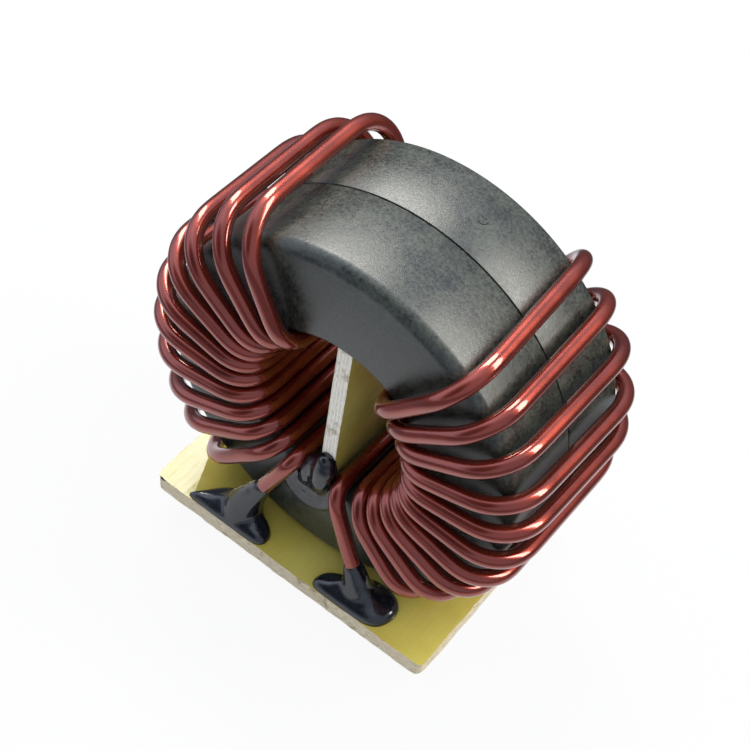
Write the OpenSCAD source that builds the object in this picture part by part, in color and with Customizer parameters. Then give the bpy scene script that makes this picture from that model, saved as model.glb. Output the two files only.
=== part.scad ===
// Upright common-mode choke: a ring core in a two-part plastic case, with two
// mirrored windings of thick enamelled wire, on a small glass-fibre base plate.
// Millimetres. X runs across the two windings, Y along the core's axis with the
// front at -Y, and Z is up. The origin is the centre of the base's underside.

/* [Core case] */
// Outer diameter of the case
case_d = 40; // [34:0.5:60]
// Bore of the case
bore_d = 19.5; // [18.5:0.5:26]
// Width of the case along the core's axis
case_w = 17.7; // [12:0.1:26]
// Thickness of the case's walls
case_wall = 1.2; // [0.8:0.1:2]
// Round on the front outer edge
outer_round = 1.3; // [0.6:0.1:2]
// Round on the rear outer edge
rear_round = 0.3; // [0.1:0.05:1]
// Round on the edges of the bore
bore_round = 0.9; // [0.4:0.1:1.5]
// Where the halves meet, behind the middle of the width
seam_offset = 0.55; // [-3:0.05:3]
// Open seam between the halves
seam_gap = 0.12; // [0.05:0.01:0.3]
// Length by which the halves' walls lap
lap_length = 1.6; // [0.8:0.1:3]
// Clearance between the lapped walls
lap_gap = 0.1; // [0.05:0.01:0.2]
// Room round the ring core inside the case
core_gap = 0.3; // [0.1:0.05:0.6]
// Round on the ring core's edges
core_round = 0.6; // [0.2:0.1:1]

/* [Base plate] */
// Length of the base, across the windings
base_w = 34.6; // [30:0.1:50]
// From the middle of a pin to the base's front or back edge
base_margin = 2.4; // [1.6:0.1:6]
// Thickness of the base
base_t = 2; // [1.2:0.1:3.2]
// Round on the base's upright corners
base_corner = 0.5; // [0.1:0.1:3]
// Gap under the case where it stands on the base
seat_gap = 0.05; // [0.02:0.01:0.3]

/* [Divider] */
// Thickness of the plate in the bore
divider_t = 1.6; // [0.8:0.1:2.4]
// How far the plate's edges lie behind the case's faces
divider_inset = 0.5; // [0:0.1:2]
// Clearance between the plate's corners and the bore
divider_gap = 0.05; // [0.02:0.01:0.2]

/* [Wire] */
// Diameter of the enamelled wire
wire_d = 1.7; // [1.2:0.05:1.8]
// Turns in each winding
turns = 10; // [4:1:11]
// Gap between neighbouring turns in the bore
turn_gap = 0.22; // [0.15:0.01:0.4]
// Gap between the wire and the wall of the bore
bore_gap = 0.2; // [0.1:0.05:0.5]
// Gap between the wire and the front of the case
front_gap = 0.95; // [0.8:0.05:2]
// Gap between the wire and the back of the case, at the bore
rear_gap = 1.35; // [0.8:0.05:2]
// How far the turns swell out further back, behind the case's rear edge
rear_swell = 1.4; // [0:0.05:2.4]
// Radius of the wire's bends at the bore, on its centreline
bore_bend = 2.9; // [2.2:0.1:3.4]
// Radius of the wire's bends behind the case's rear edge, on its centreline
rear_bend = 5.2; // [3.5:0.1:5.6]
// Unevenness of the turns round the outside, in degrees
unevenness = 0.55; // [0:0.05:1.5]
// Faces round the wire
wire_faces = 10; // [6:2:16]
// Steps in each bend of the wire
bend_steps = 4; // [3:1:8]

/* [Right winding] */
// Gap between the front lead and the divider, in the bore
right_lead_gap = 0.45; // [0.2:0.05:1]
// Room from the front lead to the last turn, in turns
right_lead_room = 1.38; // [1:0.02:1.5]
// Spread of the turns outside the case, as a share of their spread in the bore
right_spread = 0.92; // [0.8:0.005:1]
// Lift of every turn round the outside, in degrees
right_lift = 1.2; // [-4:0.1:8]
// Further lift of every turn towards the back, in degrees
right_rear_lift = 1.5; // [-2:0.1:3]
// How much the upper turns rise and the lower ones drop towards the back, in degrees
right_fan = 1.6; // [-4:0.1:4]
// How much the middle turns sag towards the back, in degrees
right_sag = 7; // [0:0.5:12]
// Gap between the wire and the outside of the case
right_bow = 0.65; // [0.4:0.05:2]
// Radius of the wire's bends over the case's front edge, on its centreline
right_bend = 4.4; // [3.5:0.1:4.6]

/* [Left winding] */
// Gap between the front lead and the divider, in the bore
left_lead_gap = 1.3; // [0.2:0.05:1.6]
// Room from the front lead to the last turn, in turns
left_lead_room = 1; // [1:0.02:1.5]
// Spread of the turns outside the case, as a share of their spread in the bore
left_spread = 0.96; // [0.8:0.005:1]
// Lift of every turn round the outside, in degrees
left_lift = 4.9; // [-4:0.1:8]
// Further lift of every turn towards the back, in degrees
left_rear_lift = 1.5; // [-2:0.1:3]
// How much the upper turns rise and the lower ones drop towards the back, in degrees
left_fan = -3; // [-4:0.1:4]
// How much the middle turns sag towards the back, in degrees
left_sag = 7; // [0:0.5:12]
// Gap between the wire and the outside of the case
left_bow = 1.35; // [0.5:0.05:2]
// Radius of the wire's bends over the case's front edge, on its centreline
left_bend = 5; // [3.5:0.1:5.6]

/* [Leads and pins] */
// Distance between the pins across the windings
pin_pitch_x = 15; // [12:0.1:24]
// From the case's face to the middle of a pin
pin_stand = 2.15; // [1.6:0.05:6]
// Length of the pins under the base
pin_length = 2.8; // [2:0.1:5]
// Thickness of the tin on the pins
tin = 0.05; // [0.02:0.01:0.1]
// Clearance round the pins in the base's holes
hole_gap = 0.15; // [0.1:0.05:0.3]
// Height at which a lead bends down into its hole, above the base
lead_drop = 1.6; // [1.2:0.1:3]
// Radius of the lead's bend above its hole
drop_bend = 3; // [2:0.1:4]
// Radius of the lead's bend out of the bore, and of the rear lead's knee
lead_bend = 2; // [1.8:0.1:2.6]
// Gap between the front lead and the case
lead_gap = 0.25; // [0.2:0.05:0.6]
// Gap between the rear lead and the turns it crosses
cross_gap = 0.3; // [0.2:0.05:0.6]
// Height of the rear lead's knee, above the base
knee_height = 3; // [2.4:0.1:3.2]

/* [Epoxy] */
// Half the length of a puddle round a lead
puddle_long = 4.9; // [3:0.1:6]
// Half the width of a puddle round a lead
puddle_short = 2.5; // [1.8:0.1:3]
// Thickness of a puddle
puddle_height = 1; // [0.5:0.1:1.2]
// Turn of a puddle's long axis, in degrees
puddle_turn = 11; // [0:1:30]
// Height of the epoxy up the front right lead
right_neck = 3.7; // [2.6:0.1:5]
// Height of the epoxy up the front left lead
left_neck = 6; // [2.6:0.1:8]
// Height of the epoxy up the rear leads
rear_neck = 2.1; // [1.6:0.1:3]
// Thickness of the epoxy sleeve round a lead
sleeve = 0.4; // [0.2:0.05:0.8]
// Clearance kept between the epoxy and what it holds
epoxy_gap = 0.06; // [0.03:0.01:0.15]
// Height of the blob at the divider's foot, above the bore's lowest line
foot_height = 3.8; // [2:0.1:5]
// How far the blob stands out in front of the case
foot_bulge = 0.9; // [0.4:0.1:1.4]
// How far its skirt runs down the case's face below the bore
skirt_drop = 3.6; // [1:0.1:5]
// Thickness of the skirt
skirt_t = 0.6; // [0.3:0.05:0.9]

/* [Hidden] */

front = -1;
rear = 1;
left = -1;
right = 1;

case_r = case_d / 2;
bore_r = bore_d / 2;
half_w = case_w / 2;
core_z = base_t + seat_gap + case_r;
wire_r = wire_d / 2;
pin_r = wire_r + tin;
pin_pitch_y = case_w + 2 * pin_stand;
base_d = pin_pitch_y + 2 * base_margin;

// The wire's centreline in the bore, and how the turns follow each other there
bore_path_r = bore_r - bore_gap - wire_r;
bore_pitch = 2 * asin((wire_d + turn_gap) / (2 * bore_path_r));
front_path_y = -(half_w + front_gap + wire_r);
rear_path_y = half_w + rear_gap + wire_r;
front_lead_y = -(half_w + lead_gap + wire_r);

// The rear lead crosses behind the turns. The lowest one it crosses lies about as
// far from the axis as the pin's knee, where part of the swell has to be cleared.
crossing_r = norm([pin_pitch_x / 2, base_t + 3 * knee_height - core_z]);
crossing_swell = rear_swell * (crossing_r - bore_path_r) / (case_r - bore_path_r);
rear_lead_y = rear_path_y + crossing_swell + wire_d + cross_gap;

// One winding: [side, lead x, lead room, spread, lift, rear lift, fan, sag, bow, bend]
right_winding = [
    right, divider_t / 2 + right_lead_gap + wire_r, right_lead_room, right_spread,
    right_lift, right_rear_lift, right_fan, right_sag, right_bow, right_bend
];
left_winding = [
    left, divider_t / 2 + left_lead_gap + wire_r, left_lead_room, left_spread,
    left_lift, left_rear_lift, left_fan, left_sag, left_bow, left_bend
];

$fn = 64;

// ---------------------------------------------------------------- geometry

function unit(v) = v / norm(v);

// A point given by its distance from the core's axis, its angle and its y
function around(rho, angle, y, side) =
    [side * rho * cos(angle), y, core_z + rho * sin(angle)];

// The arc that rounds corner b of the path a-b-c
function bend(a, b, c, radius, steps) =
    let(
        to_a = unit(a - b),
        to_c = unit(c - b),
        half = acos(to_a * to_c) / 2,
        reach = min(radius / tan(half), 0.48 * min(norm(a - b), norm(c - b))),
        centre = b + unit(to_a + to_c) * reach / cos(half),
        from = b + to_a * reach - centre,
        to = b + to_c * reach - centre,
        turn = 180 - 2 * half
    )
    [for (i = [0:steps])
        centre + (sin(turn - i * turn / steps) * from + sin(i * turn / steps) * to) / sin(turn)];

// Corners are [point, bend radius]; the first and last are the path's ends
function rounded_path(corners, steps) = [
    corners[0][0],
    for (i = [1:len(corners) - 2])
        each bend(corners[i - 1][0], corners[i][0], corners[i + 1][0], corners[i][1], steps),
    corners[len(corners) - 1][0]
];

// Directions along a path, halfway between its two legs at each point
function directions(path) =
    let(last = len(path) - 1)
    [for (i = [0:last])
        i == 0 ? unit(path[1] - path[0])
        : i == last ? unit(path[last] - path[last - 1])
        : unit(unit(path[i + 1] - path[i]) + unit(path[i] - path[i - 1]))];

// Sideways directions carried along the path without twist
function sideways(dirs, start) = [
    for (
        i = 0, n = unit(start - (start * dirs[0]) * dirs[0]);
        i < len(dirs);
        i = i + 1, n = i < len(dirs) ? unit(n - (n * dirs[i]) * dirs[i]) : n
    ) n
];

// Faces that join rings of points, each ring with the same number of points
function ring_faces(rings, count) = [
    for (i = [0:rings - 2], j = [0:count - 1])
        let(a = i * count + j, b = i * count + (j + 1) % count)
        each [[a, b, b + count], [a, b + count, a + count]]
];

// A round wire along a path
module wire_along(path, radius, faces) {
    dirs = directions(path);
    sides = sideways(dirs, [1, 0, 0]);
    last = len(path) - 1;
    points = [
        for (i = [0:last], j = [0:faces - 1])
            path[i] + radius * (cos(360 * j / faces) * sides[i]
                + sin(360 * j / faces) * cross(dirs[i], sides[i]))
    ];
    caps = [
        [for (j = [faces - 1:-1:0]) j],
        [for (j = [0:faces - 1]) last * faces + j]
    ];
    polyhedron(points, concat([for (f = ring_faces(last + 1, faces)) [f[2], f[1], f[0]]],
        [for (c = caps) [for (j = [len(c) - 1:-1:0]) c[j]]]), convexity = 10);
}

// ---------------------------------------------------------------- case and core

// A half section from r1 to r2 and y1 to y2, with its corners rounded: radius
// a at r1 and radius b at r2, on the y2 end only
module section(r1, r2, y1, y2, a, b) {
    difference() {
        translate([r1, y1]) square([r2 - r1, y2 - y1]);
        translate([r1, y2 - a]) rounding_cut(a, 1);
        translate([r2, y2 - b]) rounding_cut(b, -1);
    }
}

// What is cut off a square corner to round it
module rounding_cut(radius, way) {
    scale([way, 1]) difference() {
        translate([-1, 0]) square([radius + 1, radius + 1]);
        translate([radius, 0]) circle(radius);
        translate([radius, -1]) square([1, radius + 2]);
    }
}

// Turns a half section about the core's axis; its y runs towards the end given
module about_axis(end) {
    translate([0, 0, core_z]) rotate([end == front ? 90 : -90, 0, 0]) rotate_extrude() children();
}

// Round on the case's outer edge at one end
function edge_round(end) = end == front ? outer_round : rear_round;

// One cup of the case, from its open mouth at the seam to its face. Its walls lap
// those of the other cup: the front cup keeps the skins that show, and the rear
// cup has the tongues inside them.
module case_cup(end, mouth) {
    half_wall = (case_wall - lap_gap) / 2;
    about_axis(end) difference() {
        section(bore_r, case_r, mouth, half_w, bore_round, edge_round(end));
        translate([bore_r + case_wall, mouth - 1])
            square([case_r - bore_r - 2 * case_wall, half_w - case_wall - mouth + 1]);
        if (end == front) {
            translate([bore_r + half_wall, mouth - 1])
                square([case_r - bore_r - 2 * half_wall, lap_length + seam_gap + 1]);
        }
    }
    if (end == rear) {
        for (r = [bore_r + half_wall + lap_gap, case_r - case_wall]) about_axis(end)
            translate([r, mouth - lap_length]) square([half_wall, lap_length + case_wall]);
    }
}

module case_front() color("#3c3f42") case_cup(front, seam_gap / 2 - seam_offset);

module case_rear() color("#44474a") case_cup(rear, seam_gap / 2 + seam_offset);

module core() color("#2b2a2c") {
    room = case_wall + core_gap;
    height = case_w - 2 * room;
    for (end = [front, rear]) about_axis(end)
        section(bore_r + room, case_r - room, 0, height / 2, core_round, core_round);
}

// ---------------------------------------------------------------- base and divider

// Places a copy at each pin
module at_pins() {
    for (x = [-1, 1], y = [-1, 1]) translate([x * pin_pitch_x / 2, y * pin_pitch_y / 2, 0]) children();
}

module base_plate() color("#b5ad4c") difference() {
    linear_extrude(base_t) difference() {
        square([base_w, base_d], center = true);
        for (x = [-1, 1], y = [-1, 1]) scale([x, y])
            translate([base_w / 2 - base_corner, base_d / 2 - base_corner]) difference() {
                square(base_corner + 1);
                circle(base_corner);
            }
    }
    at_pins() translate([0, 0, -1]) cylinder(r = pin_r + hole_gap, h = base_t + 2);
}

module divider_plate() color("#cfcab6") {
    half_height = sqrt(pow(bore_r - divider_gap, 2) - pow(divider_t / 2, 2));
    translate([-divider_t / 2, -(half_w - divider_inset), core_z - half_height])
        cube([divider_t, case_w - 2 * divider_inset, 2 * half_height]);
}

// ---------------------------------------------------------------- windings

// Angle in the bore at which the front lead of winding w comes out
function lead_angle(w) = -acos(w[1] / bore_path_r);

// Angle of turn k in the bore; turn 0 is the top one, and the turn after the
// last is the lead
function bore_angle(w, k) =
    k == turns ? lead_angle(w)
    : lead_angle(w) + (w[2] + turns - 1 - k) * bore_pitch;

// Angle of turn k round the outside, at the front and at the back
function front_angle(w, k) =
    w[3] * bore_angle(w, k) + w[4] - w[0] * unevenness * sin(140 * k + 40);
function rear_angle(w, k) =
    let(phase = 180 * (k + 1) / (turns + 1))
    front_angle(w, k) + w[5] + w[6] * cos(phase) - w[7] * pow(sin(phase), 2);

// The four corners of turn k: out of the bore, over the front edge, along the
// outside and over the back edge, down to where the next turn enters the bore
function turn_corners(w, k) =
    let(outer = case_r + w[8] + wire_r)
    [
        [around(bore_path_r, bore_angle(w, k), front_path_y, w[0]), bore_bend],
        [around(outer, front_angle(w, k), front_path_y, w[0]), w[9]],
        [around(outer, rear_angle(w, k), rear_path_y + rear_swell, w[0]), rear_bend],
        [around(bore_path_r, bore_angle(w, k + 1), rear_path_y, w[0]), bore_bend]
    ];

function pin_at(w, end, z) = [w[0] * pin_pitch_x / 2, end * pin_pitch_y / 2, z];

// The rear lead rises from its pin, leans out at 45 degrees past the turns and
// enters the bore above them as the top turn
function rear_lead(w) =
    let(lean = rear_lead_y - pin_pitch_y / 2)
    [
        [pin_at(w, rear, -wire_r), 0],
        [pin_at(w, rear, base_t + knee_height), lead_bend],
        [pin_at(w, rear, base_t + knee_height + lean) + [0, lean, 0], lead_bend],
        [around(bore_path_r, bore_angle(w, 0), rear_lead_y, w[0]), lead_bend]
    ];

// The front lead comes out of the bore after the last turn and runs down the
// face of the case to its pin
function front_lead(w) = [
    [around(bore_path_r, lead_angle(w), front_lead_y, w[0]), lead_bend],
    [pin_at(w, front, base_t + lead_drop), drop_bend],
    [pin_at(w, front, -wire_r), 0]
];

function winding_corners(w) = concat(
    rear_lead(w),
    [for (k = [0:turns - 1]) each turn_corners(w, k)],
    front_lead(w)
);

// The wire's two ends go down through the base and are tinned below it, as pins
module winding(w) {
    wire_along(rounded_path(winding_corners(w), bend_steps), wire_r, wire_faces);
    for (end = [front, rear]) translate(pin_at(w, end, -pin_length))
        cylinder(r = pin_r, h = pin_length);
}

module winding_left() color("#7a3a30") winding(left_winding);

module winding_right() color("#7a3a30") winding(right_winding);

// ---------------------------------------------------------------- epoxy

puddle_steps = 7;
puddle_faces = 20;
rim_share = 0.25;

// Outline of a puddle seen from above, from the pin at its middle: an ellipse
// turned by puddle_turn and cut off where the base ends
function puddle_edge(phi) =
    let(
        x = puddle_long * cos(phi),
        y = puddle_short * sin(phi),
        limit = base_margin - epoxy_gap
    )
    [
        x * cos(puddle_turn) - y * sin(puddle_turn),
        max(-limit, x * sin(puddle_turn) + y * cos(puddle_turn))
    ];

// Height of the puddle's skin at step t, from its edge (0) to its neck (1)
function puddle_skin(t, neck) =
    let(rim = 1 - min(t / rim_share, 1))
    puddle_height * sqrt(1 - rim * rim) + (neck - puddle_height) * pow(t, 2.5);

// Where a lead's centreline is at a height above the base, from its pin: it
// stands straight up to the bend and then leans
function lead_offset(lean, bend_height, z) = lean * max(0, z - bend_height);

// A puddle of epoxy round a lead, in the frame of its pin, open where the lead
// passes: rings run in over the skin and up the neck, then down the channel. The
// channel clears the wire where it leans and where it bends to go down.
module puddle(neck, lean, bend_height, bend_r) {
    bent = neck > bend_height - bend_r * tan(atan(norm(lean)) / 2);
    lean_angle = bent ? atan(norm(lean)) : 0;
    bend_room = bend_r * (1 / cos(lean_angle / 2) - 1);
    hold_r = wire_r / cos(lean_angle) + bend_room + epoxy_gap;
    channel = hold_r / cos(180 / puddle_faces);
    function ring(centre, radius, z) = [
        for (j = [0:puddle_faces - 1])
            let(phi = 360 * j / puddle_faces)
            [centre[0] + radius * cos(phi), centre[1] + radius * sin(phi), z]
    ];
    function skin_ring(t) =
        let(
            z = puddle_skin(t, neck),
            centre = lead_offset(lean, bend_height, z),
            share = pow(1 - t, 1.5)
        )
        [for (j = [0:puddle_faces - 1])
            let(
                phi = 360 * j / puddle_faces,
                edge = puddle_edge(phi),
                collar = centre + (channel + sleeve) * [cos(phi), sin(phi)]
            )
            [each (share * edge + (1 - share) * collar), z]];
    heights = neck > bend_height ? [neck, bend_height, 0] : [neck, 0];
    rings = concat(
        [for (i = [0:puddle_steps]) skin_ring(i / puddle_steps)],
        [for (z = heights) ring(lead_offset(lean, bend_height, z), channel, z)]
    );
    count = len(rings);
    points = [for (r = rings) each r];
    closing = [for (j = [0:puddle_faces - 1])
        let(a = (count - 1) * puddle_faces + j, b = (count - 1) * puddle_faces + (j + 1) % puddle_faces)
        each [[a, b, (j + 1) % puddle_faces], [a, (j + 1) % puddle_faces, j]]];
    polyhedron(points,
        [for (f = concat(ring_faces(count, puddle_faces), closing)) [f[2], f[1], f[0]]],
        convexity = 6);
}

// Lean of a lead per millimetre of height, from its bend above the pin to the
// corner it comes from, seen in the frame of a puddle at the front right
function lead_lean(w, end) =
    let(
        corners = end == front ? front_lead(w) : rear_lead(w),
        low = corners[1][0],
        high = end == front ? corners[0][0] : corners[2][0],
        run = (high - low) / (high[2] - low[2])
    )
    [run[0] * w[0], -run[1] * end];

// The puddle of winding w at one end, mirrored from the front right one
module lead_epoxy(w, end, neck) {
    bend_height = end == front ? lead_drop : knee_height;
    bend_r = end == front ? drop_bend : lead_bend;
    color("#15171a") translate(pin_at(w, end, base_t)) scale([w[0], -end, 1])
        translate([0, 0, epoxy_gap]) puddle(neck, lead_lean(w, end), bend_height, bend_r);
}

module epoxy_front_left() lead_epoxy(left_winding, front, left_neck);

module epoxy_front_right() lead_epoxy(right_winding, front, right_neck);

module epoxy_rear_left() lead_epoxy(left_winding, rear, rear_neck);

module epoxy_rear_right() lead_epoxy(right_winding, rear, rear_neck);

// Blob that holds the divider's foot: it fills the space between the two front
// leads in the bore, stands out over the rim and runs down the case's face
module epoxy_divider_foot() {
    left_x = -(left_winding[1] - wire_r - epoxy_gap);
    right_x = right_winding[1] - wire_r - epoxy_gap;
    middle = (left_x + right_x) / 2;
    floor_z = core_z - bore_r;
    color("#15171a") difference() {
        union() {
            translate([middle, -half_w + divider_inset, floor_z])
                scale([(right_x - left_x) / 2, foot_bulge + divider_inset, foot_height])
                    sphere(1, $fn = 32);
            translate([middle, -half_w, floor_z - skirt_drop / 3])
                scale([(right_x - left_x) * 0.75, skirt_t, skirt_drop * 2 / 3])
                    sphere(1, $fn = 32);
        }
        case_envelope(epoxy_gap);
        divider_room(epoxy_gap);
    }
}

// The case as a solid ring, grown all round by a clearance
module case_envelope(gap) {
    for (end = [front, rear]) about_axis(end)
        section(bore_r - gap, case_r + gap, -1, half_w + gap, bore_round + gap,
            edge_round(end) + gap);
}

// The divider, grown all round by a clearance
module divider_room(gap) {
    translate([-divider_t / 2 - gap, -(half_w - divider_inset) - gap, core_z - bore_r - 1])
        cube([divider_t + 2 * gap, case_w - 2 * divider_inset + 2 * gap, bore_d + 2]);
}

base_plate();
divider_plate();
case_front();
case_rear();
core();
winding_left();
winding_right();
epoxy_front_left();
epoxy_front_right();
epoxy_rear_left();
epoxy_rear_right();
epoxy_divider_foot();
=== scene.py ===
import math
import bmesh
import bpy
from mathutils import Matrix, Quaternion, Vector, noise


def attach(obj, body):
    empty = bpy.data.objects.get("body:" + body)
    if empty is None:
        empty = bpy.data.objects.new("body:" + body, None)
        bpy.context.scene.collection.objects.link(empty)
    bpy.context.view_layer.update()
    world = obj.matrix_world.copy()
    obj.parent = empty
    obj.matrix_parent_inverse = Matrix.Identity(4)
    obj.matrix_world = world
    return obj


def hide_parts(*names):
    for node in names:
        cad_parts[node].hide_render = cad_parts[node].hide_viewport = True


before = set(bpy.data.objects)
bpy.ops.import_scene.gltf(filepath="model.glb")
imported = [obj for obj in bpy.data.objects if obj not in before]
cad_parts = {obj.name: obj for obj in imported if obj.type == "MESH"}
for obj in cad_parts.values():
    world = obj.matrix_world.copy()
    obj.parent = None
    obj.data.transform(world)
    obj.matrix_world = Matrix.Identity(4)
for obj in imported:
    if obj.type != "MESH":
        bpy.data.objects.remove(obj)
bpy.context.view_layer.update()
MM = 0.001


# ---------------------------------------------------------------- ring core
# A ring of thin soft-magnetic strip wound round and round, with its edges
# rounded by the lacquer that holds the layers. It lies loose in the closed case.

base_t = 2 * MM
seat_gap = 0.05 * MM
case_r = 20 * MM
core_z = base_t + seat_gap + case_r
layer_t = 0.1884 * MM  # of the layers that can be told apart
wave_unit = 0.314  # how far apart the waves of a wave node at scale 1 are


def linear(hex_colour):
    """An sRGB hex colour as linear red, green, blue and alpha."""
    parts = [int(hex_colour[i:i + 2], 16) / 255 for i in (1, 3, 5)]
    return [c / 12.92 if c <= 0.04045 else ((c + 0.055) / 1.055) ** 2.4 for c in parts] + [1]


def connect(tree, node, inputs):
    """Gives a node its inputs. An input that is given a socket is linked to it."""
    for name, value in inputs.items():
        if isinstance(value, bpy.types.NodeSocket):
            tree.links.new(value, node.inputs[name])
        else:
            node.inputs[name].default_value = value


def add(tree, kind, inputs, **settings):
    """Adds a node with its settings and inputs."""
    made = tree.nodes.new("ShaderNode" + kind)
    for name, value in settings.items():
        setattr(made, name, value)
    connect(tree, made, inputs)
    return made


def blend(tree, share, low, high):
    """A colour between two, each a hex colour or a socket."""
    low, high = [linear(colour) if isinstance(colour, str) else colour for colour in (low, high)]
    return add(tree, "Mix", {0: share, 6: low, 7: high}, data_type="RGBA").outputs[2]


def waves(tree, place, spacing, distortion, detail, detail_scale=1, **settings):
    """Rings or stripes a spacing apart, made a little uneven."""
    inputs = {"Vector": place, "Scale": wave_unit / spacing, "Distortion": distortion,
              "Detail": detail, "Detail Scale": detail_scale}
    return add(tree, "TexWave", inputs, **settings).outputs["Fac"]


def bumps(tree, height, strength, distance, under=None):
    """A normal tilted by a height, on top of another one if that is given."""
    inputs = {"Height": height, "Strength": strength, "Distance": distance}
    if under:
        inputs["Normal"] = under
    return add(tree, "Bump", inputs).outputs[0]


def new_material(name):
    """A material with its tree, its shader and its object coordinates in metres."""
    made = bpy.data.materials.new(name)
    made.use_nodes = True
    tree = made.node_tree
    place = add(tree, "TexCoord", {}).outputs["Object"]
    return made, tree, tree.nodes["Principled BSDF"], place


# Wound strip, bare metal: fine concentric lines, each layer's edge a little
# lighter or darker than the next, with a dull brushed sheen.
strip, tree, shader, place = new_material("wound soft-magnetic strip")
centred = add(tree, "Mapping", {"Vector": place, "Location": (0, 0, -core_z)}).outputs[0]
layers = waves(tree, centred, layer_t, distortion=0.4, detail=2, detail_scale=1.5,
               wave_type="RINGS", rings_direction="Y")
connect(tree, shader, {"Base Color": blend(tree, layers, "#4d4c4f", "#7d7b7c"),
                       "Metallic": 0.9, "Roughness": 0.45,
                       "Normal": bumps(tree, layers, strength=0.4, distance=0.02 * MM)})
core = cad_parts["core"]
core.data.materials.clear()
core.data.materials.append(strip)


# ---------------------------------------------------------------- case halves
# Two moulded cups of black glass-filled polyester. The rear one has tongues that
# slide inside the front one's walls, so only a hairline seam shows round the ring.

bore_r = 9.75 * MM
half_w = 8.85 * MM
case_wall = 1.2 * MM
front_round = 1.3 * MM
rear_round = 0.3 * MM
bore_round = 0.9 * MM
mouth_round = 0.07 * MM
large_round = 0.5 * MM  # a wider round than this is made of more segments
seam_y = 0.55 * MM
seam_gap = 0.12 * MM
lap_length = 1.6 * MM
lap_gap = 0.1 * MM
lip = (case_wall - lap_gap) / 2


def speckle(tree, place, size, detail, roughness=0.5):
    """Noise whose blotches are about a size across."""
    inputs = {"Vector": place, "Scale": 1 / size, "Detail": detail, "Roughness": roughness}
    return add(tree, "TexNoise", inputs).outputs["Fac"]


def mapped(tree, value, source, target=(0, 1), **settings):
    """A value carried over from one range to another and held at its ends."""
    inputs = {0: value, 1: source[0], 2: source[1], 3: target[0], 4: target[1]}
    return add(tree, "MapRange", inputs, **settings).outputs[0]


def maths(tree, operation, *values):
    """The result of an operation on two or three values."""
    return add(tree, "Math", dict(enumerate(values)), operation=operation).outputs[0]


def finish_piece(name, bm, materials, sharp=35):
    """Makes an object of a bmesh, smooth but for the edges that turn more than sharp degrees."""
    for face in bm.faces:
        face.smooth = True
    for edge in bm.edges:
        edge.smooth = len(edge.link_faces) != 2 or edge.calc_face_angle() < math.radians(sharp)
    mesh = bpy.data.meshes.new(name)
    bm.to_mesh(mesh)
    bm.free()
    for material in materials:
        mesh.materials.append(material)
    made = bpy.data.objects.new(name, mesh)
    bpy.context.scene.collection.objects.link(made)
    return made


def turned(outline, rounds, steps=200):
    """Spins a closed outline of (radius, y) about the core's axis, with rounds at some corners."""
    bm = bmesh.new()
    corners = [bm.verts.new((r, y, core_z)) for r, y in outline]
    bm.faces.new(corners)
    for corner, radius in rounds.items():
        segments = 8 if radius > large_round else 3
        bmesh.ops.bevel(bm, geom=[corners[corner]], offset=radius, offset_type="OFFSET",
                        segments=segments, profile=0.5, affect="VERTICES", material=-1)
    bmesh.ops.delete(bm, geom=list(bm.faces), context="FACES_ONLY")
    bmesh.ops.spin(bm, geom=list(bm.verts) + list(bm.edges), cent=(0, 0, core_z), axis=(0, 1, 0),
                   angle=math.tau, steps=steps, use_merge=True)
    bmesh.ops.recalc_face_normals(bm, faces=list(bm.faces))
    return bm


front_mouth = seam_y - seam_gap / 2
rear_mouth = seam_y + seam_gap / 2
tongue_end = rear_mouth - lap_length
recess = tongue_end - 2 * seam_gap
tongue_in = bore_r + lip + lap_gap
tongue_out = case_r - lip - lap_gap
front_cup = turned(
    [(case_r, front_mouth), (case_r, -half_w), (bore_r, -half_w), (bore_r, front_mouth),
     (bore_r + lip, front_mouth), (bore_r + lip, recess),
     (bore_r + case_wall, recess), (bore_r + case_wall, case_wall - half_w),
     (case_r - case_wall, case_wall - half_w), (case_r - case_wall, recess),
     (case_r - lip, recess), (case_r - lip, front_mouth)],
    {0: mouth_round, 1: front_round, 2: bore_round, 3: mouth_round})
rear_cup = turned(
    [(case_r, rear_mouth), (case_r, half_w), (bore_r, half_w), (bore_r, rear_mouth),
     (tongue_in, rear_mouth), (tongue_in, tongue_end), (bore_r + case_wall, tongue_end),
     (bore_r + case_wall, half_w - case_wall), (case_r - case_wall, half_w - case_wall),
     (case_r - case_wall, tongue_end), (tongue_out, tongue_end), (tongue_out, rear_mouth)],
    {0: mouth_round, 1: rear_round, 2: bore_round, 3: mouth_round})

# The moulding gate's scar: a thin curved lip with two specks, cut off almost flush
scar_angle = math.radians(78.6)
scar_y = 4.6 * MM
scar_twist = math.radians(12)
scar_r = 0.5 * MM
scar_lip_r = 0.045 * MM
scar_sweep = math.radians(-140)
speck_r = 0.07 * MM
speck_y = 0.28 * MM
scar = bmesh.new()
scar_start = Matrix.Translation((scar_r, 0, 0)) @ Matrix.Rotation(math.pi / 2, 4, "X")
ring = bmesh.ops.create_circle(scar, segments=8, radius=scar_lip_r, matrix=scar_start)
bmesh.ops.spin(scar, geom=ring["verts"] + list(scar.edges), cent=(0, 0, 0), axis=(0, 0, 1),
               angle=scar_sweep, steps=14)
bmesh.ops.holes_fill(scar, edges=[e for e in scar.edges if e.is_boundary], sides=0)
for x in (-0.16 * MM, 0.2 * MM):
    bmesh.ops.create_icosphere(scar, subdivisions=2, radius=speck_r,
                               matrix=Matrix.Translation((x, speck_y, 0)))
bmesh.ops.recalc_face_normals(scar, faces=list(scar.faces))
scar_place = Vector((case_r * math.cos(scar_angle), scar_y, core_z + case_r * math.sin(scar_angle)))
upright = Matrix.Rotation(math.pi / 2 - scar_angle, 4, "Y") @ Matrix.Rotation(scar_twist, 4, "Z")
bmesh.ops.transform(scar, matrix=Matrix.Translation(scar_place) @ upright, verts=list(scar.verts))
for face in scar.faces:
    face.material_index = 1
scar_mesh = bpy.data.meshes.new("gate_scar")
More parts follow.
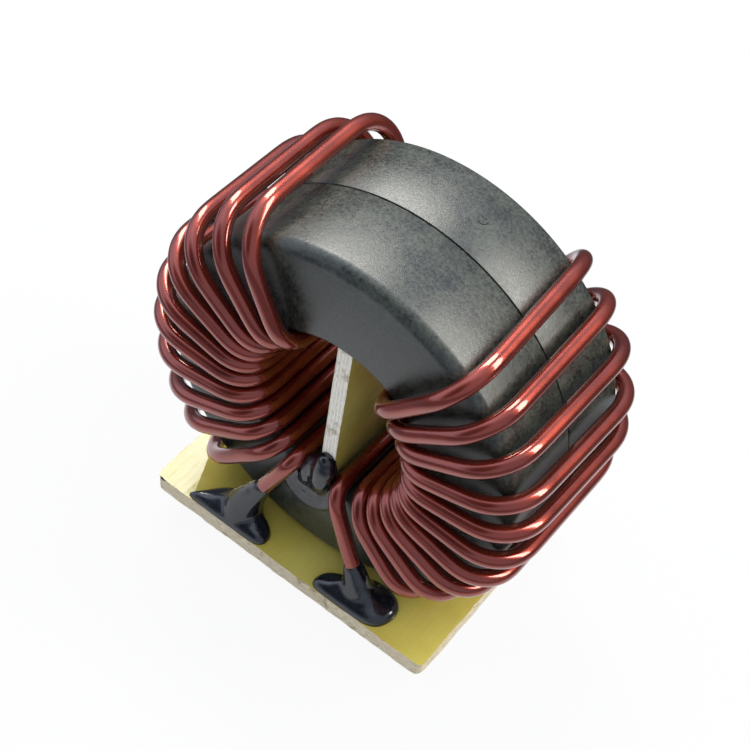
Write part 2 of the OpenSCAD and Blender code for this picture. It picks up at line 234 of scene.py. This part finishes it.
scar.to_mesh(scar_mesh)
scar.free()
rear_cup.from_mesh(scar_mesh)

# Glass-filled polyester off a fine-grained mould: satin charcoal, mottled with
# paler clouds of fibre a millimetre or two wide and a fine, sandy grain.
plastic, tree, shader, place = new_material("moulded glass-filled polyester")
clouds = speckle(tree, place, 2.4 * MM, detail=3, roughness=0.6)
grain = speckle(tree, place, 0.32 * MM, detail=3, roughness=0.7)
fibres = maths(tree, "MULTIPLY_ADD", clouds, 0.6, grain)
connect(tree, shader, {"Base Color": blend(tree, mapped(tree, fibres, (0.62, 1)), "#161918", "#414639"),
                       "Roughness": mapped(tree, fibres, (0.6, 1), (0.3, 0.44)), "IOR": 1.75,
                       "Normal": bumps(tree, fibres, strength=0.8, distance=0.02 * MM)})

# Where the gate was twisted off, the same polyester is torn and a little scorched:
# brown-black, dull and uneven.
scorched, tree, shader, place = new_material("torn polyester at the gate")
torn = speckle(tree, place, 0.1 * MM, detail=2)
connect(tree, shader, {"Base Color": blend(tree, torn, "#15110e", "#3b2f26"), "Roughness": 0.7})

for name, node, cup in (("case_cup_front", "case_front", front_cup),
                        ("case_cup_rear", "case_rear", rear_cup)):
    piece = finish_piece(name, cup, [plastic, scorched])
    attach(piece, "root")
    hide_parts(node)


# ---------------------------------------------------------------- windings
# Ten turns of thick enamelled copper wire on each side, wound by hand from the
# rear pin, in at the top of the bore, and out at its foot to the front pin. The
# stripped ends go down through the base and are dipped in tin.

wire_r = 0.85 * MM
pin_x = 7.5 * MM
pin_y = half_w + 2.15 * MM
divider_t = 1.6 * MM
right_lead_x = divider_t / 2 + 0.45 * MM + wire_r
left_lead_x = divider_t / 2 + 1.3 * MM + wire_r
turns = 10
turn_pitch = 12.67  # degrees from turn to turn in the bore
unevenness = 0.55  # degrees that a turn strays round the outside
bore_gap = 0.2 * MM
front_gap = 0.95 * MM
rear_gap = 1.35 * MM
rear_swell = 1.4 * MM
lead_gap = 0.25 * MM
bore_path_r = bore_r - bore_gap - wire_r
front_path_y = -(half_w + front_gap + wire_r)
rear_path_y = half_w + rear_gap + wire_r
rear_outer_y = rear_path_y + rear_swell
front_lead_y = -(half_w + lead_gap + wire_r)
rear_lead_y = 13.627 * MM  # far enough back to clear the turns that it crosses
bore_bend = 2.9 * MM
rear_bend = 5.2 * MM
lead_bend = 2 * MM
drop_bend = 3 * MM
drop_height = 1.6 * MM
knee_height = 3 * MM
wire_end = -0.4 * MM
# A tinned end's radius and height, in millimetres
pin_profile = ((0, -2.8), (0.62, -2.78), (0.85, -2.55), (0.9, -2.2), (0.9, -0.5), (0.87, 0.5), (0.85, 0.9))


def around(rho, angle, y, side):
    """A point at a distance and an angle from the core's axis."""
    a = math.radians(angle)
    return Vector((side * rho * math.cos(a), y, core_z + rho * math.sin(a)))


def rounded(corners, steps=14):
    """The path through corners of (point, radius), with an arc at each."""
    longest = 0.48  # the share of a straight length that one arc may take
    path = [corners[0][0]]
    for (a, _), (b, radius), (c, _) in zip(corners, corners[1:], corners[2:]):
        to_a = (a - b).normalized()
        to_c = (c - b).normalized()
        half = to_a.angle(to_c) / 2
        reach = min(radius / math.tan(half), longest * min((a - b).length, (c - b).length))
        centre = b + (to_a + to_c).normalized() * (reach / math.cos(half))
        start = b + to_a * reach - centre
        end = b + to_c * reach - centre
        turn = math.pi - 2 * half
        for i in range(steps + 1):
            so_far = i * turn / steps
            path.append(centre + (start * math.sin(turn - so_far) + end * math.sin(so_far)) / math.sin(turn))
    return path + [corners[-1][0]]


def lead_angle(lead_x):
    """Where a front lead lies in the bore, as an angle about the core's axis."""
    return -math.degrees(math.acos(lead_x / bore_path_r))


def front_lead_corners(side, lead_x):
    """From the foot of the bore down the case's face and into the front hole."""
    return [(around(bore_path_r, lead_angle(lead_x), front_lead_y, side), lead_bend),
            (Vector((side * pin_x, -pin_y, base_t + drop_height)), drop_bend),
            (Vector((side * pin_x, -pin_y, wire_end)), 0)]


def rear_lead_corners(side, entry):
    """Up from the rear hole, out past the turns and into the top of the bore."""
    lean = rear_lead_y - pin_y
    return [(Vector((side * pin_x, pin_y, wire_end)), 0),
            (Vector((side * pin_x, pin_y, base_t + knee_height)), lead_bend),
            (Vector((side * pin_x, rear_lead_y, base_t + knee_height + lean)), lead_bend),
            (around(bore_path_r, entry, rear_lead_y, side), lead_bend)]


def winding_corners(side, lead_x, room, spread, lift, rear_lift, fan, sag, bow, bend, nudges):
    """The corners of a whole winding, from the rear pin to the front one.

    The turns lie evenly in the bore, from room pitches above the front lead upwards.
    Round the outside they stand bow off the case, spread and lifted by some degrees,
    and at the back they are lifted again, fan out and sag. Nudges shift the outer
    corners of single turns: outward and nearer in metres, higher in degrees.
    """
    last = lead_angle(lead_x)
    angles = [last + (room + turns - 1 - k) * turn_pitch for k in range(turns)] + [last]
    outer = case_r + bow + wire_r
    corners = rear_lead_corners(side, angles[0])
    for k in range(turns):
        phase = math.pi * (k + 1) / (turns + 1)
        front = spread * angles[k] + lift - unevenness * side * math.sin(math.radians(140 * k + 40))
        rear = front + rear_lift + fan * math.cos(phase) - sag * math.sin(phase) ** 2
        outward, higher, nearer = nudges.get(k, (0, 0, 0))
        corners += [(around(bore_path_r, angles[k], front_path_y, side), bore_bend),
                    (around(outer, front + higher, front_path_y, side), bend),
                    (around(outer + outward, rear + higher, rear_outer_y - nearer, side), rear_bend),
                    (around(bore_path_r, angles[k + 1], rear_path_y, side), bore_bend)]
    return corners + front_lead_corners(side, lead_x)


def eased(path, step=0.3 * MM, rounds=20):
    """The same path with its bends run softly into the straight lengths, as springy wire takes them.

    The first few millimetres, upright in the rear hole, stay as they are.
    """
    first_stretch = 12 * MM
    upright_height = 0.5 * MM
    points = [path[0]]
    for a, b in zip(path, path[1:]):
        parts = max(1, round((b - a).length / step))
        points += [a.lerp(b, (i + 1) / parts) for i in range(parts)]
    start = points[:round(first_stretch / step)]
    fixed = sum(point.z < base_t + upright_height for point in start)
    for _ in range(rounds):
        neighbours = zip(points[fixed - 1:], points[fixed:], points[fixed + 1:])
        softer = [(a + 2 * b + c) / 4 for a, b, c in neighbours]
        points = points[:fixed] + softer + points[-1:]
    return points


def evaluated(thing):
    """A bmesh of what an object's curve or modifiers make, with the object removed."""
    made = bmesh.new()
    seen = thing.evaluated_get(bpy.context.evaluated_depsgraph_get())
    made.from_mesh(bpy.data.meshes.new_from_object(seen))
    bpy.data.objects.remove(thing)
    return made


def drawn_wire(path, sides=24):
    """A round wire along a path, as a bmesh with its ends closed."""
    curve = bpy.data.curves.new("route", "CURVE")
    curve.dimensions = "3D"
    curve.bevel_depth = wire_r
    curve.bevel_resolution = sides // 2 - 2
    curve.use_fill_caps = True
    spline = curve.splines.new("POLY")
    spline.points.add(len(path) - 1)
    for point, co in zip(spline.points, path):
        point.co = (*co, 1)
    route = bpy.data.objects.new("route", curve)
    bpy.context.scene.collection.objects.link(route)
    bm = evaluated(route)
    bmesh.ops.remove_doubles(bm, verts=list(bm.verts), dist=0.0005 * MM)
    bmesh.ops.recalc_face_normals(bm, faces=list(bm.faces))
    return bm


def add_pin(bm, x, y):
    """Spins a tinned wire end about its own axis, with the second material on it."""
    before = set(bm.verts)
    profile = [bm.verts.new((x + r * MM, y, z * MM)) for r, z in pin_profile]
    edges = [bm.edges.new(pair) for pair in zip(profile, profile[1:])]
    bmesh.ops.spin(bm, geom=profile + edges, cent=(x, y, 0), axis=(0, 0, 1),
                   angle=math.tau, steps=28, use_merge=True)
    bmesh.ops.remove_doubles(bm, verts=[v for v in bm.verts if v not in before], dist=0.001 * MM)
    bmesh.ops.holes_fill(bm, edges=[e for e in bm.edges if e.is_boundary], sides=0)
    faces = [f for f in bm.faces if f.verts[0] not in before]
    bmesh.ops.recalc_face_normals(bm, faces=faces)
    for face in faces:
        face.material_index = 1


# Polyester enamel over drawn copper: the clear red-brown film gives a sharp white
# gloss, and under it the drawn copper glows softly, dark red to fiery orange.
enamel, tree, shader, place = new_material("red-brown enamelled copper")
cloud = speckle(tree, place, 3.5 * MM, detail=2)
ripples = speckle(tree, place, 2 * MM, detail=1)
connect(tree, shader, {"Base Color": blend(tree, mapped(tree, cloud, (0.3, 0.7)), "#8b3222", "#a03d29"),
                       "Metallic": 0.77, "Roughness": mapped(tree, cloud, (0.3, 0.7), (0.23, 0.31)),
                       "Coat Weight": 1, "Coat Roughness": 0.04, "Coat IOR": 1.58,
                       "Normal": bumps(tree, ripples, strength=0.2, distance=0.02 * MM)})

# Dipped tin: bright metal with the faint ripples in which it froze as it ran
tin, tree, shader, place = new_material("dipped tin")
ripple = speckle(tree, place, 0.5 * MM, detail=2)
connect(tree, shader, {"Base Color": blend(tree, ripple, "#a9abac", "#cfd0ce"),
                       "Metallic": 1, "Roughness": 0.28,
                       "Normal": bumps(tree, ripple, strength=0.5, distance=0.03 * MM)})

right_corners = winding_corners(1, right_lead_x, room=1.38, spread=0.92, lift=1.2, rear_lift=1.5, fan=1.6,
                                sag=7, bow=0.65 * MM, bend=4.4 * MM, nudges={})
left_corners = winding_corners(-1, left_lead_x, room=1, spread=0.96, lift=4.9, rear_lift=1.5, fan=-3,
                               sag=7, bow=1.35 * MM, bend=5 * MM,
                               nudges={0: (0.15 * MM, 0, 0.35 * MM), 1: (0, 0.9, 0)})
for name, node, side, corners in (("winding_coil_right", "winding_right", 1, right_corners),
                                  ("winding_coil_left", "winding_left", -1, left_corners)):
    bm = drawn_wire(eased(rounded(corners)))
    for end in (-1, 1):
        add_pin(bm, side * pin_x, end * pin_y)
    piece = finish_piece(name, bm, [enamel, tin], sharp=50)
    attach(piece, "root")
    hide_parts(node)


# ---------------------------------------------------------------- divider plate
# A strip sawn from glass-fibre laminate and pushed into the bore on edge, to keep
# the two windings apart. Its sawn edges are left rough and fibrous.

divider_inset = 0.5 * MM
divider_gap = 0.08 * MM
divider_size = (divider_t, 2 * (half_w - divider_inset), 2 * (bore_r - divider_gap))


def mark_edges(bm, thin):
    """Gives a plate's two faces the first material, and all that is sawn or drilled the second."""
    for face in bm.faces:
        face.material_index = 0 if abs(face.normal[thin]) > 0.7 else 1


def laminate_plate(size, centre, step, ragged, corner_round=None):
    """A plate sawn in a net of faces, so that its narrow sides can be ragged."""
    slow_wave = 2.6 * MM
    fine_wave = 0.7 * MM
    bm = bmesh.new()
    bmesh.ops.create_cube(bm, size=1, matrix=Matrix.Diagonal((*size, 1)))
    if corner_round:
        corners = [e for e in bm.edges if abs(e.verts[0].co.z - e.verts[1].co.z) > size[2] / 2]
        bmesh.ops.bevel(bm, geom=corners, offset=corner_round, offset_type="OFFSET",
                        segments=3, profile=0.5, affect="EDGES", material=-1)
    thin = min(range(3), key=lambda axis: size[axis])
    for axis in range(3):
        normal = Vector([float(axis == i) for i in range(3)])
        count = 4 if axis == thin else round(size[axis] / step)
        for i in range(1, count):
            bmesh.ops.bisect_plane(bm, geom=list(bm.verts) + list(bm.edges) + list(bm.faces), dist=1e-9,
                                   plane_co=normal * size[axis] * (i / count - 0.5), plane_no=normal)
    bmesh.ops.translate(bm, verts=list(bm.verts), vec=centre)
    bm.normal_update()
    mark_edges(bm, thin)
    rim = {v: v.normal.copy() for v in bm.verts if any(f.material_index for f in v.link_faces)}
    for vert, normal in rim.items():
        normal[thin] = 0
        wave = noise.noise(vert.co / slow_wave) + 0.6 * noise.noise(vert.co / fine_wave)
        vert.co -= normal.normalized() * ragged * max(0, 0.75 + wave)
    return bm


def laminate_face(name, dark, light, dip=None):
    """Face of pressed glass cloth in epoxy resin: glossy, scuffed, the cloth barely seen in it."""
    made, tree, shader, place = new_material(name)
    cloud = speckle(tree, place, 7 * MM, detail=3)
    warp = waves(tree, place, 0.79 * MM, distortion=0.6, detail=1, bands_direction="X")
    weft = waves(tree, place, 0.58 * MM, distortion=0.6, detail=1, bands_direction="Y")
    shade = maths(tree, "MULTIPLY_ADD", maths(tree, "MULTIPLY", warp, weft), 0.05, cloud)
    stretched = add(tree, "Mapping", {"Vector": place, "Scale": (1, 0.03, 1)}).outputs[0]
    hairlines = speckle(tree, stretched, 0.16 * MM, detail=3, roughness=0.7)
    scuffs = mapped(tree, hairlines, (0.54, 0.68))
    skin = bumps(tree, scuffs, strength=0.35, distance=0.006 * MM)
    if dip:
        # Beyond a line across the front left corner the surface falls away by a few degrees
        past = add(tree, "VectorMath", {0: place, 1: (-0.914, -0.407, 0)}, operation="DOT_PRODUCT")
        fall = mapped(tree, past.outputs["Value"], (dip, dip + 5 * MM), (0, -0.65))
        skin = bumps(tree, fall, strength=1, distance=MM, under=skin)
    connect(tree, shader, {"Base Color": blend(tree, mapped(tree, shade, (0.32, 0.72)), dark, light),
                           "Roughness": mapped(tree, scuffs, (0, 1), (0.12, 0.34)), "IOR": 1.56,
                           "Normal": skin})
    return made


def laminate_edge(name, across, dark, light, stain, scorch=None):
    """Sawn edge of laminate: pale broken glass, layer upon layer, with browned resin in places."""
    made, tree, shader, place = new_material(name)
    squeeze = (2.2, 0.4, 0.4) if across == "X" else (0.4, 0.4, 2.2)
    layered = add(tree, "Mapping", {"Vector": place, "Scale": squeeze}).outputs[0]
    fibres = speckle(tree, layered, 0.28 * MM, detail=4, roughness=0.7)
    plies = waves(tree, place, 0.36 * MM, distortion=2.5, detail=2, detail_scale=2, bands_direction=across)
    blots = speckle(tree, place, 2.4 * MM, detail=3, roughness=0.65)
    mixed = maths(tree, "MULTIPLY_ADD", plies, 0.2, fibres)
    tone = blend(tree, mapped(tree, mixed, (0.38, 0.7)), dark, light)
    tone = blend(tree, mapped(tree, blots, (0.6, 0.72), (0, 0.75)), tone, stain)
    if scorch:
        # The saw burnt one spot nearly black, with a ragged border
        away = add(tree, "VectorMath", {0: place, 1: scorch}, operation="DISTANCE").outputs["Value"]
        border = maths(tree, "MULTIPLY_ADD", fibres, 0.8 * MM, away)
        tone = blend(tree, mapped(tree, border, (1.3 * MM, 1.6 * MM), (1, 0)), tone, "#1d1a15")
    connect(tree, shader, {"Base Color": tone, "Roughness": 0.8,
                           "Normal": bumps(tree, fibres, strength=0.8, distance=0.06 * MM)})
    return made


# Pressed laminate, unclad: the resin browns it to a glossy olive yellow. Where it was
# sawn it is dull and off-white.
divider_face = laminate_face("pressed laminate in the bore", "#c6b554", "#dfd172")
divider_edge = laminate_edge("sawn laminate edge in the bore", "X", "#d8ceb6", "#faf3e0", "#a3936c")
bm = laminate_plate(divider_size, Vector((0, 0, core_z)), step=0.45 * MM, ragged=0.07 * MM)
piece = finish_piece("divider_sawn_plate", bm, [divider_face, divider_edge], sharp=40)
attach(piece, "root")
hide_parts("divider_plate")


# ---------------------------------------------------------------- base plate
# A rectangle of the same laminate, 2 mm thick, sawn out of a larger sheet and
# drilled for the four wire ends. The faces are smooth and glossy, the edges raw.

base_w = 34.6 * MM
base_d = 2 * (pin_y + 2.4 * MM)
chip_r = 1.5 * MM
drill_r = 1.05 * MM


def drilled(bm, x, y, materials):
    """A plate with one more hole through it."""
    ring = bmesh.new()
    bmesh.ops.create_cone(ring, cap_ends=True, segments=40, radius1=drill_r, radius2=drill_r,
                          depth=3 * base_t, matrix=Matrix.Translation((x, y, base_t / 2)))
    drill = finish_piece("drill", ring, [])
    plate = finish_piece("plate", bm, materials)
    cut = plate.modifiers.new("hole", "BOOLEAN")
    cut.operation = "DIFFERENCE"
    cut.solver = "EXACT"
    cut.object = drill
    made = evaluated(plate)
    bpy.data.objects.remove(drill)
    return made


# The same laminate in the open: yellower and brighter, its edge browned and burnt
# at one corner.
base_face = laminate_face("pressed laminate", "#c8b34c", "#dccb66", dip=16.7 * MM)
base_edge = laminate_edge("sawn laminate edge", "Z", "#a68f64", "#f8e8c4", "#876746",
                          scorch=(0.4 * MM - base_w / 2, 0.1 * MM - base_d / 2, base_t + 0.4 * MM))
bm = laminate_plate((base_w, base_d, base_t), Vector((0, 0, base_t / 2)), step=0.5 * MM, ragged=0.09 * MM,
                    corner_round=0.5 * MM)
# The two front corners are chipped
for side, depth in ((-1, 0.55 * MM), (1, 0.4 * MM)):
    corner = Vector((side * base_w / 2, -base_d / 2, 0))
    for vert in bm.verts:
        away = (vert.co.xy - corner.xy).length
        if away < chip_r:
            chip = (1 - away / chip_r) ** 2 * (0.6 + 0.6 * noise.noise(vert.co / (0.6 * MM)))
            vert.co -= corner.normalized() * chip * depth
for x in (-pin_x, pin_x):
    for y in (-pin_y, pin_y):
        bm = drilled(bm, x, y, [base_face, base_edge])
mark_edges(bm, 2)
piece = finish_piece("base_sawn_plate", bm, [base_face, base_edge], sharp=40)
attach(piece, "root")
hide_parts("base_plate")


# ---------------------------------------------------------------- epoxy drops
# Black two-part epoxy dabbed on by hand: a puddle round each lead that climbs it
# a little way, and a blob at the divider's foot that ran down the case's face.

# Cast black epoxy, set as it flowed: wet-looking, with slow ripples of a couple
# of millimetres and a few dull spots where dust settled before it was hard.
epoxy, tree, shader, place = new_material("set black epoxy")
slow = speckle(tree, place, 2.2 * MM, detail=2, roughness=0.45)
dust = speckle(tree, place, 0.5 * MM, detail=3, roughness=0.6)
connect(tree, shader, {"Base Color": blend(tree, slow, "#0b0d10", "#1b2027"),
                       "Roughness": mapped(tree, dust, (0.45, 0.75), (0.12, 0.34)), "IOR": 1.75,
                       "Normal": bumps(tree, slow, strength=0.4, distance=0.3 * MM)})

drop_cell = 0.13 * MM
drop_lift = 0.01 * MM
bead_step = 0.3 * MM
brink = 0.04 - base_d / 2 / MM  # y in millimetres just inside the plate's front edge
# How far towards the lead's foot, as a share, and how high a puddle is there, in millimetres
dome = ((0, -0.6), (0, 0.1), (0.03, 0.36), (0.08, 0.56), (0.16, 0.7), (0.3, 0.85), (0.45, 1.05),
        (0.6, 1.35), (0.75, 1.8), (0.88, 2.4))


def lead_at(corners, height):
    """Where a lead's middle is at a height, in metres."""
    path = rounded(corners, 24)
    for a, b in zip(path, path[1:]):
        if min(a.z, b.z) <= height <= max(a.z, b.z) and a.z != b.z:
            return a.lerp(b, (height - a.z) / (b.z - a.z))
    return min(path, key=lambda point: abs(point.z - height))


def climb(corners, stations):
    """A strand up a lead, given (height, radius) in millimetres."""
    return [(lead_at(corners, z * MM), r * MM) for z, r in stations]


def strand(stations):
    """A strand through places of (x, y, z, radius) in millimetres."""
    return [(Vector((x, y, z)) * MM, r * MM) for x, y, z, r in stations]


def add_puddle(bm, outline, foot, height):
    """Adds a puddle with a softened outline, domed towards a lead's foot, in millimetres."""
    rim = [Vector(point) for point in outline]
    for _ in range(3):
        rim = [a.lerp(b, t) for a, b in zip(rim, rim[1:] + rim[:1]) for t in (0.25, 0.75)]
    rings = []
    for inward, rise in dome:
        top = base_t + (rise if inward == 0 else rise * height) * MM
        rings.append([bm.verts.new((*(point.lerp(foot, inward) * MM), top)) for point in rim])
    for low, high in zip(rings, rings[1:]):
        for i in range(len(rim)):
            bm.faces.new((low[i - 1], low[i], high[i], high[i - 1]))
    bm.faces.new(rings[0])
    bm.faces.new(rings[-1])
    bmesh.ops.recalc_face_normals(bm, faces=list(bm.faces))


def add_beads(bm, strand):
    """Adds balls along a strand of (point, radius), so close that they run together."""
    for (a, ra), (b, rb) in zip(strand, strand[1:]):
        beads = max(2, round((b - a).length / bead_step))
        for i in range(beads + 1):
            t = i / beads
            bmesh.ops.create_icosphere(bm, subdivisions=2, radius=ra + (rb - ra) * t,
                                       matrix=Matrix.Translation(a.lerp(b, t)))


def epoxy_drop(name, node, strands, outline=None, height=1, rounds=34):
    """Runs strands of (point, radius), and a puddle if it has an outline, together into one drop."""
    bm = bmesh.new()
    if outline:
        add_puddle(bm, outline, strands[0][0][0].xy / MM, height)
    for beads in strands:
        add_beads(bm, beads)
    raw = finish_piece("raw_drop", bm, [])
    remesh = raw.modifiers.new("run together", "REMESH")
    remesh.mode = "VOXEL"
    remesh.voxel_size = drop_cell
    bm = evaluated(raw)
    for _ in range(rounds):
        bmesh.ops.smooth_vert(bm, verts=list(bm.verts), factor=0.5,
                              use_axis_x=True, use_axis_y=True, use_axis_z=True)
    if outline:
        # Flat underneath, a hair above the base plate
        cut = bmesh.ops.bisect_plane(bm, geom=list(bm.verts) + list(bm.edges) + list(bm.faces),
                                     plane_co=(0, 0, base_t + drop_lift), plane_no=(0, 0, 1),
                                     clear_inner=True)
        rim = [e for e in cut["geom_cut"] if isinstance(e, bmesh.types.BMEdge)]
        bmesh.ops.edgeloop_fill(bm, edges=rim)
    bmesh.ops.recalc_face_normals(bm, faces=list(bm.faces))
    piece = finish_piece(name, bm, [epoxy], sharp=60)
    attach(piece, "root")
    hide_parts(node)


# The front puddles' outlines, as (x, y) in millimetres, reach the plate's front edge
right_foot = climb(front_lead_corners(1, right_lead_x), ((2.3, 1.9), (3.2, 1.65), (4.4, 1.36), (5.7, 1.13)))
right_puddle = [(3.2, -13.3), (3.0, -12.3), (3.4, -11.2), (4.5, -10.5), (5.7, -9.9), (6.8, -9.1), (8.3, -8.4),
                (10.2, -8.4), (11.6, -9.1), (12.1, -10.4), (11.8, -12.0), (10.9, -13.1), (9.0, brink),
                (6.0, brink)]
epoxy_drop("epoxy_drop_front_right", "epoxy_front_right", [right_foot], right_puddle, height=1.3)

left_foot = climb(front_lead_corners(-1, left_lead_x),
                  ((2.3, 2.3), (3.4, 2.0), (4.8, 1.65), (6.4, 1.36), (7.9, 1.1)))
left_puddle = [(-13.6, -13.2), (-12.5, -12.2), (-11.5, -10.8), (-10.4, -9.6), (-9.0, -9.0), (-7.5, -9.1),
               (-6.0, -9.8), (-4.6, -10.3), (-3.5, -11.0), (-3.1, -12.2), (-3.5, -13.2), (-5.0, brink),
               (-8.0, brink), (-11.0, brink)]
epoxy_drop("epoxy_drop_front_left", "epoxy_front_left", [left_foot], left_puddle, height=1.2)

for side, node in ((-1, "epoxy_rear_left"), (1, "epoxy_rear_right")):
    rear_foot = climb(rear_lead_corners(side, entry=40), ((2.3, 1.6), (3.1, 1.35), (4.0, 1.13)))
    rear_puddle = [(side * (pin_x / MM - 0.1 + 4.4 * math.cos(a) * (1 + 0.12 * math.sin(2 * a + side))),
                    pin_y / MM + 2.3 * math.sin(a))
                   for a in [side * math.tau * i / 16 for i in range(16)]]
    epoxy_drop(node.replace("epoxy", "epoxy_drop"), node, [rear_foot], rear_puddle)

# At the divider's foot a lump clings to the plate's end, and what ran out of the
# bore hangs on the case's face as a thin pool with a thicker rim. All in millimetres.
pool_x = -1.2
pool_z = 10.9
pool_r = 2.7
pool_rim = strand([(pool_x + 2.9 * math.cos(a), -8.9, pool_z + pool_r * math.sin(a), 0.62)
                   for a in [math.radians(angle) for angle in range(-172, -5, 14)]])
pool = [strand([(pool_x + side * pool_r * math.sqrt(1 - ((z - pool_z) / pool_r) ** 2), -8.75, z, 0.52)
                for side in (-1, 1)])
        for z in [8.5 + 0.35 * i for i in range(12)]]
lump = strand([(0.05, -8.6, 15.6, 1.0), (0.15, -8.8, 14.2, 1.3), (0.1, -8.9, 12.9, 1.25),
               (-0.1, -8.9, 11.7, 0.9)])
left_lobe = strand([(-1.5, -8.5, 14.2, 0.7), (-1.9, -8.75, 12.8, 0.85), (-1.8, -8.85, 11.4, 0.7)])
between = strand([(-0.85, -8.45, 14.4, 0.95), (-0.95, -8.55, 12.9, 1.1), (-0.95, -8.6, 11.6, 0.9)])
epoxy_drop("epoxy_drop_divider_foot", "epoxy_divider_foot",
           [pool_rim, *pool, lump, between, left_lobe], rounds=20)


# ---------------------------------------------------------------- studio
# A white table and two tall windows, high up behind on the left and on the right. What
# is mirrored is a dim room: a paler ceiling behind and wall on the left, a dark patch
# where the camera stands, and a table that darkens a few centimetres away.

floor_z = (pin_profile[0][1] - 0.001) * MM
floor_bm = bmesh.new()
bmesh.ops.create_grid(floor_bm, x_segments=1, y_segments=1, size=3,
                      matrix=Matrix.Translation((0, 0, floor_z)))

# Matt white paper with a faint tooth. It glows by itself for the camera, all but a
# soft shadow round the part, and where it is mirrored it darkens away from the part.
paper, tree, shader, place = new_material("white paper")
path = add(tree, "LightPath", {}).outputs
mirrored = maths(tree, "MAXIMUM", path["Is Glossy Ray"], path["Is Transmission Ray"])
away = add(tree, "VectorMath", {0: place}, operation="LENGTH").outputs["Value"]
beyond = mapped(tree, away, (0.035, 0.08))
rearward = mapped(tree, add(tree, "SeparateXYZ", {0: place}).outputs[1], (0, 0.1))
distant = blend(tree, rearward, "#5c5f69", "#201f1e")
tone = blend(tree, speckle(tree, place, 0.8 * MM, detail=2), "#c4c4c4", "#cacaca")
tone = blend(tree, maths(tree, "MULTIPLY", mirrored, beyond), tone, distant)
connect(tree, shader, {"Base Color": tone, "Roughness": 0.9})
glow = add(tree, "Emission", {"Color": (1, 1, 1, 1), "Strength": 1})
seen = maths(tree, "MULTIPLY", path["Is Camera Ray"], mapped(tree, away, (0.03, 0.11), (0.93, 1)))
share = maths(tree, "MULTIPLY_ADD", mirrored, mapped(tree, beyond, (0, 1), (0.5, 0)), seen)
both = add(tree, "MixShader", {0: share, 1: shader.outputs[0], 2: glow.outputs[0]})
connect(tree, tree.nodes["Material Output"], {"Surface": both.outputs[0]})
floor = finish_piece("table_top", floor_bm, [paper])


def lobe(tree, towards, direction, source, target, **settings):
    """A value that changes with how nearly one looks in a direction."""
    near = add(tree, "VectorMath", {0: towards, 1: direction}, operation="DOT_PRODUCT").outputs["Value"]
    return mapped(tree, near, source, target, **settings)


world = bpy.data.worlds.new("studio")
bpy.context.scene.world = world
world.use_nodes = True
tree = world.node_tree
path = add(tree, "LightPath", {}).outputs
towards = add(tree, "TexCoord", {}).outputs["Generated"]
axes = add(tree, "SeparateXYZ", {0: towards}).outputs
soft = {"interpolation_type": "SMOOTHSTEP"}
ceiling = lobe(tree, towards, (-0.2, 0.33, 0.92), (0.62, 0.94), (0, 0.6), **soft)
wall = lobe(tree, towards, (-0.82, -0.28, 0.5), (0.5, 0.95), (0, 0.6), **soft)
dark_patch = lobe(tree, towards, (-0.25, -0.76, 0.6), (0.82, 0.95), (1, 0.12))
behind = mapped(tree, axes[2], (0, 0.75), (0.15, 0.4), **soft)
frontward = mapped(tree, axes[1], (0.35, -0.2), **soft)
room = add(tree, "Mix", {0: frontward, 2: behind, 3: 0.58}).outputs[0]
fill = maths(tree, "ADD", maths(tree, "ADD", ceiling, wall), room)
fill = maths(tree, "MULTIPLY", fill, dark_patch)
fill = maths(tree, "MULTIPLY_ADD", path["Is Diffuse Ray"], 0.3, fill)
level = add(tree, "Mix", {0: path["Is Camera Ray"], 2: fill, 3: 1}).outputs[0]
tint = blend(tree, path["Is Camera Ray"], "#dfe9ff", "#ffffff")
connect(tree, tree.nodes["Background"], {"Strength": level, "Color": tint})


def softbox(name, towards, across, width, height, radiance):
    """An area lamp in a direction from the object, its width laid along another direction."""
    distance = 0.45
    aimed_at = Vector((0, 0, 25 * MM))
    lamp = bpy.data.lights.new(name, "AREA")
    lamp.shape = "RECTANGLE"
    lamp.size = width
    lamp.size_y = height
    lamp.energy = radiance * width * height * math.pi
    lamp.color = linear("#fffcf2")[:3]
    out = Vector(towards).normalized()
    up = out.cross(Vector(across)).normalized()
    turn = Matrix((up.cross(out), up, out)).transposed()
    made = bpy.data.objects.new(name, lamp)
    made.location = aimed_at + out * distance
    made.rotation_mode = "QUATERNION"
    made.rotation_quaternion = turn.to_quaternion()
    bpy.context.scene.collection.objects.link(made)


softbox("window", (-0.49, 0.42, 0.765), across=(0.82, 0, 0.57), width=0.33, height=0.11, radiance=11.5)
softbox("second_window", (0.6, 0.42, 0.68), across=(0.72, 0, -0.7), width=0.38, height=0.105, radiance=12)

camera = bpy.data.objects.new("camera", bpy.data.cameras.new("camera"))
bpy.context.scene.collection.objects.link(camera)
camera.data.lens = 77.29
camera.data.sensor_width = 36
camera.data.clip_start = 0.005
camera.data.clip_end = 20
azimuth = math.radians(29.04)
elevation = math.radians(50.46)
roll = math.radians(10.69)
back = Vector((math.sin(azimuth) * math.cos(elevation), -math.cos(azimuth) * math.cos(elevation),
               math.sin(elevation)))
camera.location = (0.04713, -0.08713, 0.14052)
camera.rotation_mode = "QUATERNION"
camera.rotation_quaternion = (-back).to_track_quat("-Z", "Y") @ Quaternion((0, 0, 1), roll)
bpy.context.scene.camera = camera
bpy.context.scene.view_settings.view_transform = "Standard"
